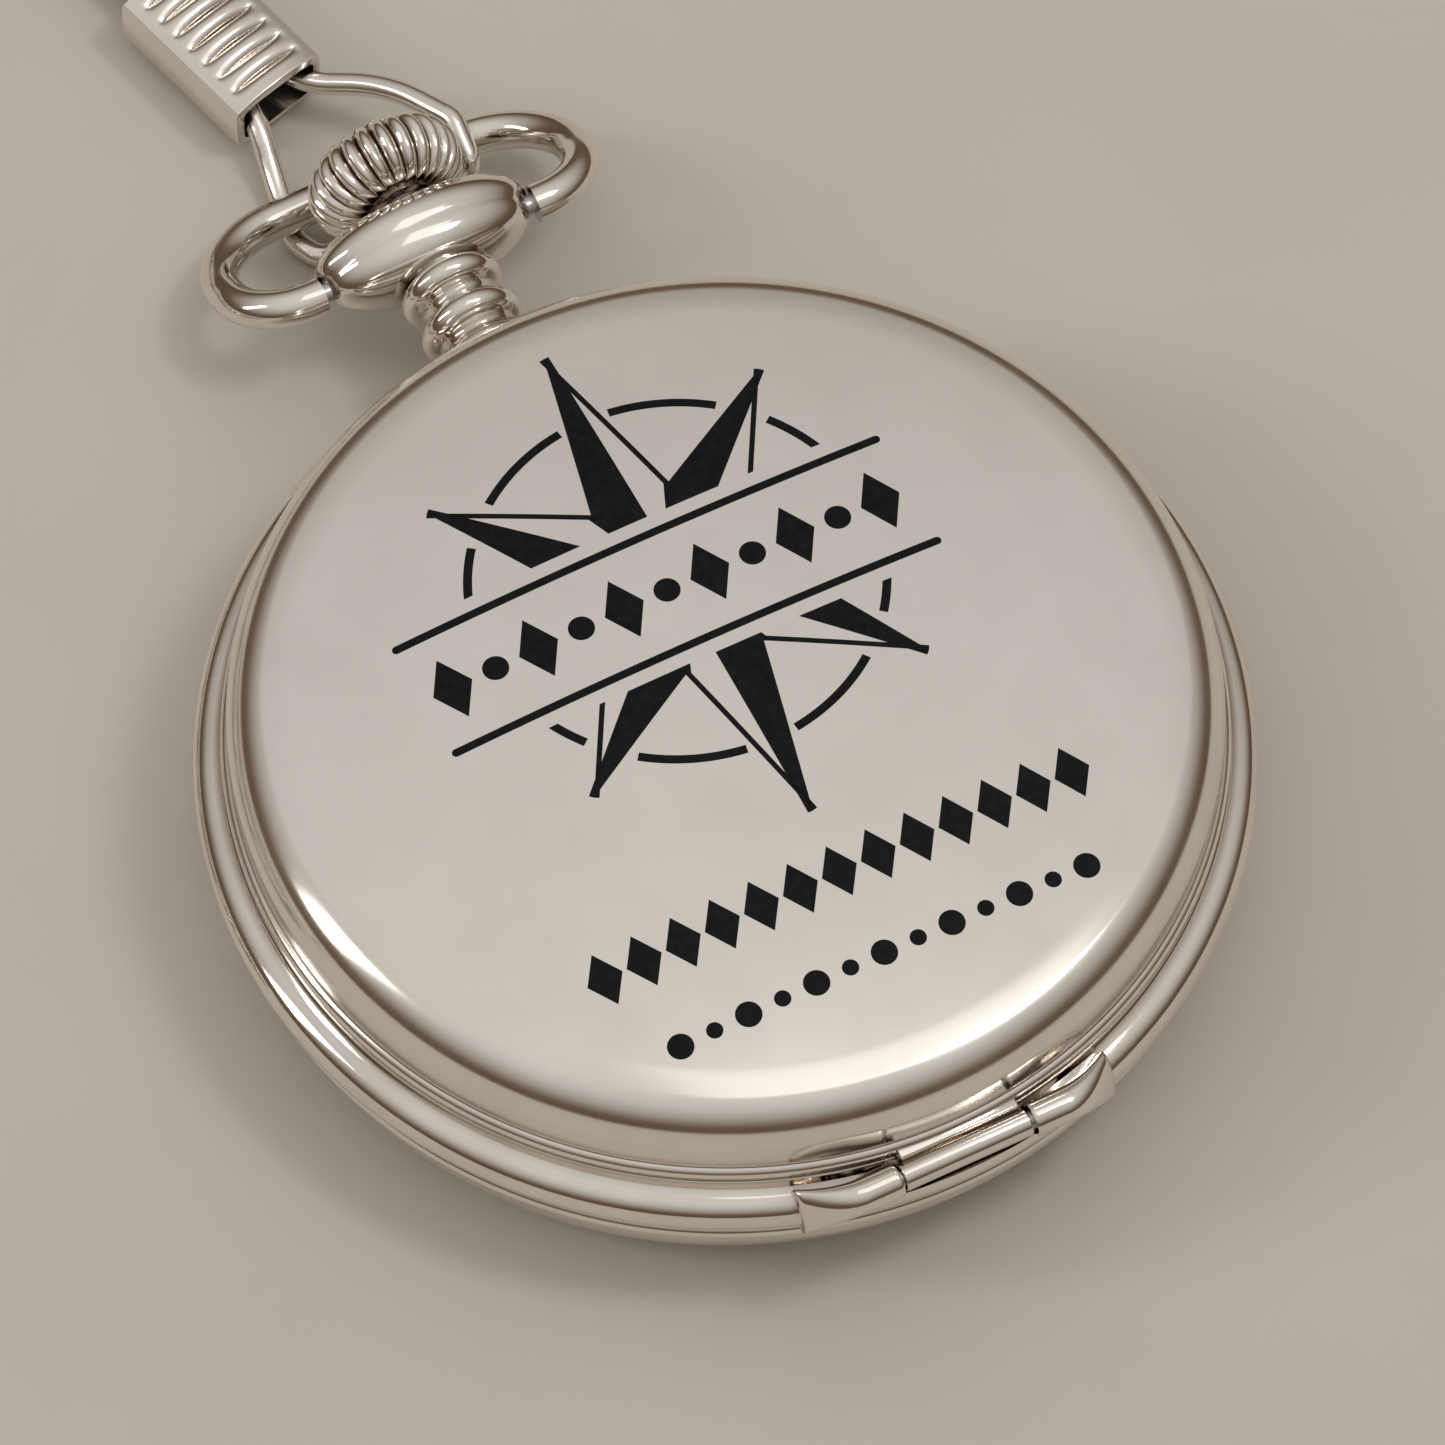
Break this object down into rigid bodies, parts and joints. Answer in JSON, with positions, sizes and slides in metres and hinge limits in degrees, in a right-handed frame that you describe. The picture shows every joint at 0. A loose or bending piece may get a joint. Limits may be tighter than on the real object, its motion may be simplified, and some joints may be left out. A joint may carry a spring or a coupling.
{
  "type": "pocket watch with chain",
  "caption": "Full-hunter pocket watch with a sprung front lid and fluted crown, on a trace-link chain with a sleeve clip and a toggle bar.",
  "frame": {"origin": "centre of the flat on the case back, which the watch lies on", "axes": "+Y from the lid hinge (6 o'clock) to the crown (12 o'clock), +Z out of the front lid, +X to 3 o'clock"},
  "size_m": [0.1199, 0.1062, 0.014],
  "materials": {
    "case_silver": "polished",
    "lid_silver": "polished",
    "crown_silver": "polished",
    "bow_silver": "polished",
    "clip_silver": "polished",
    "chain_silver": "polished",
    "steel": "fine ground",
    "spring_steel": "blued grey",
    "brass": "satin",
    "copper_winding": "lacquered wire",
    "rubber_black": "matt",
    "plastic_white": "matt",
    "board_green": "solder mask",
    "dial_white": "enamel",
    "marker_dark": "gloss",
    "hand_black": "gloss",
    "mineral_glass": "clear"
  },
  "bodies": {
    "case": {"case_band": "case_silver", "case_back": "case_silver", "back_gasket": "rubber_black", "lid_hinge_pin": "steel", "lid_lift_spring": "spring_steel", "bezel": "case_silver", "crystal": "mineral_glass", "pendant": "case_silver", "bow_studs": "steel", "dial": "dial_white", "hour_markers": "marker_dark", "main_plate": "brass", "movement_ring": "plastic_white", "circuit_board": "board_green", "train_bridge": "plastic_white", "battery": "steel", "battery_clamp": "steel", "drive_coil": "copper_winding", "movement_screws": "steel"},
    "lid": {"front_lid": "lid_silver"},
    "catch": {"lid_catch": "steel"},
    "stem": {"winding_stem": "steel"},
    "crown": {"crown": "crown_silver"},
    "minute": {"minute_hand": "hand_black", "cannon_pinion": "brass"},
    "hour": {"hour_hand": "hand_black", "hour_wheel": "brass"},
    "motion_wheel": {"minute_wheel": "brass"},
    "second": {"second_hand": "hand_black", "seconds_arbor": "steel"},
    "bow": {"bow": "bow_silver"},
    "clip": {"clip_frame": "clip_silver", "jaw_pins": "steel", "sleeve_spring": "spring_steel"},
    "sleeve": {"clip_sleeve": "clip_silver"},
    "left_jaw": {"jaw_left": "clip_silver"},
    "right_jaw": {"jaw_right": "clip_silver"},
    "ring": {"jump_ring": "chain_silver"},
    "chain_01": {"chain_01": "chain_silver"},
    "chain_02": {"chain_02": "chain_silver"},
    "chain_03": {"chain_03": "chain_silver"},
    "chain_04": {"chain_04": "chain_silver"},
    "chain_05": {"chain_05": "chain_silver"},
    "chain_06": {"chain_06": "chain_silver"},
    "chain_07": {"chain_07": "chain_silver"},
    "chain_08": {"chain_08": "chain_silver"},
    "chain_09": {"chain_09": "chain_silver"},
    "chain_10": {"chain_10": "chain_silver"},
    "end_link": {"end_ring": "chain_silver"},
    "toggle": {"toggle_bar": "chain_silver"}
  },
  "joints": [
    {"name": "lid_hinge", "type": "hinge", "parent": "case", "child": "lid", "pos_m": [0, -0.02295, 0.008], "axis": [1, 0, 0], "range_deg": [0, 100]},
    {"name": "crown_push", "type": "slide", "parent": "case", "child": "stem", "axis": [0, -1, 0], "range_m": [0, 0.0005], "stiffness_N_per_m": 800},
    {"name": "catch_release", "type": "slide", "parent": "case", "child": "catch", "axis": [0, -1, 0], "range_m": [0, 0.0005]},
    {"name": "crown_turn", "type": "hinge", "parent": "stem", "child": "crown", "pos_m": [0, 0.032, 0.006], "axis": [0, 1, 0], "continuous": true},
    {"name": "minute_hand_turn", "type": "hinge", "parent": "case", "child": "minute", "pos_m": [0, 0, 0.00765], "axis": [0, 0, -1], "continuous": true},
    {"name": "hour_hand_turn", "type": "hinge", "parent": "case", "child": "hour", "pos_m": [0, 0, 0.0073], "axis": [0, 0, -1], "continuous": true},
    {"name": "motion_wheel_turn", "type": "hinge", "parent": "case", "child": "motion_wheel", "pos_m": [0.00288, 0, 0.006], "axis": [0, 0, -1], "continuous": true},
    {"name": "second_hand_turn", "type": "hinge", "parent": "case", "child": "second", "pos_m": [0, 0, 0.00798], "axis": [0, 0, -1], "continuous": true},
    {"name": "bow_swing", "type": "hinge", "parent": "case", "child": "bow", "pos_m": [0, 0.0296, 0.006], "axis": [1, 0, 0], "range_deg": [-14, 5]},
    {"name": "clip_swing", "type": "hinge", "parent": "bow", "child": "clip", "pos_m": [0, 0.0361, 0.00225], "axis": [1, 0, 0], "range_deg": [0, 10]},
    {"name": "sleeve_slide", "type": "slide", "parent": "clip", "child": "sleeve", "axis": [-0.2588, 0.9659, 0], "range_m": [0, 0.0022], "stiffness_N_per_m": 300, "deforming": ["sleeve_spring"]},
    {"name": "left_jaw_open", "type": "hinge", "parent": "clip", "child": "left_jaw", "pos_m": [-0.00312, 0.04428, 0.0023], "axis": [0, 0, -1], "range_deg": [0, 6.5]},
    {"name": "right_jaw_open", "type": "hinge", "parent": "clip", "child": "right_jaw", "pos_m": [-0.00148, 0.04472, 0.0023], "axis": [0, 0, 1], "range_deg": [0, 4]},
    {"name": "ring_bend", "type": "hinge", "parent": "clip", "child": "ring", "pos_m": [-0.00596, 0.05813, 0.00177], "axis": [0.9659, 0.2588, 0], "range_deg": [0, 16]},
    {"name": "chain_01_bend", "type": "hinge", "parent": "ring", "child": "chain_01", "pos_m": [-0.00757, 0.06215, 0.00177], "axis": [-0.8746, -0.4848, 0], "range_deg": [-11, 0]},
    {"name": "chain_02_bend", "type": "hinge", "parent": "chain_01", "child": "chain_02", "pos_m": [-0.02408, 0.05971, 0.00177], "axis": [-0.9099, 0.4148, 0], "range_deg": [0, 16]},
    {"name": "chain_03_bend", "type": "hinge", "parent": "chain_02", "child": "chain_03", "pos_m": [-0.03099, 0.03873, 0.00177], "axis": [0.975, -0.222, 0], "range_deg": [-16, 0]},
    {"name": "chain_04_bend", "type": "hinge", "parent": "chain_03", "child": "chain_04", "pos_m": [-0.03789, 0.01774, 0.00177], "axis": [-0.9099, 0.4148, 0], "range_deg": [0, 16]},
    {"name": "chain_05_bend", "type": "hinge", "parent": "chain_04", "child": "chain_05", "pos_m": [-0.0544, 0.0153, 0.00177], "axis": [-0.8746, -0.4848, 0], "range_deg": [-11, 0]},
    {"name": "chain_06_bend", "type": "hinge", "parent": "chain_05", "child": "chain_06", "pos_m": [-0.05298, 0.03676, 0.00177], "axis": [0.9972, -0.0752, 0], "range_deg": [0, 16]},
    {"name": "chain_07_bend", "type": "hinge", "parent": "chain_06", "child": "chain_07", "pos_m": [-0.05185, 0.05886, 0.00177], "axis": [-0.9911, 0.1329, 0], "range_deg": [-16, 0]},
    {"name": "chain_08_bend", "type": "hinge", "parent": "chain_07", "child": "chain_08", "pos_m": [-0.05374, 0.07896, 0.00177], "axis": [0.5446, 0.8387, 0], "range_deg": [0, 11]},
    {"name": "chain_09_bend", "type": "hinge", "parent": "chain_08", "child": "chain_09", "pos_m": [-0.06919, 0.06941, 0.00177], "axis": [0.9205, -0.3908, 0], "range_deg": [-16, 0]},
    {"name": "chain_10_bend", "type": "hinge", "parent": "chain_09", "child": "chain_10", "pos_m": [-0.07519, 0.04816, 0.00177], "axis": [-0.983, 0.1837, 0], "range_deg": [0, 16]},
    {"name": "end_link_bend", "type": "hinge", "parent": "chain_10", "child": "end_link", "pos_m": [-0.0812, 0.0269, 0.00177], "axis": [0.9205, -0.3908, 0], "range_deg": [-16, 0]},
    {"name": "toggle_bend", "type": "hinge", "parent": "end_link", "child": "toggle", "pos_m": [-0.08299, 0.02285, 0.00177], "axis": [-0.9094, 0.416, 0], "range_deg": [0, 16]}
  ],
  "couplings": [
    {"joint": "catch_release", "follows": "crown_push", "ratio": 1},
    {"joint": "hour_hand_turn", "follows": "minute_hand_turn", "ratio": 0.083333},
    {"joint": "motion_wheel_turn", "follows": "minute_hand_turn", "ratio": -0.33333},
    {"joint": "left_jaw_open", "follows": "sleeve_slide", "rad_per_m": 51.487},
    {"joint": "right_jaw_open", "follows": "sleeve_slide", "rad_per_m": 31.654}
  ]
}
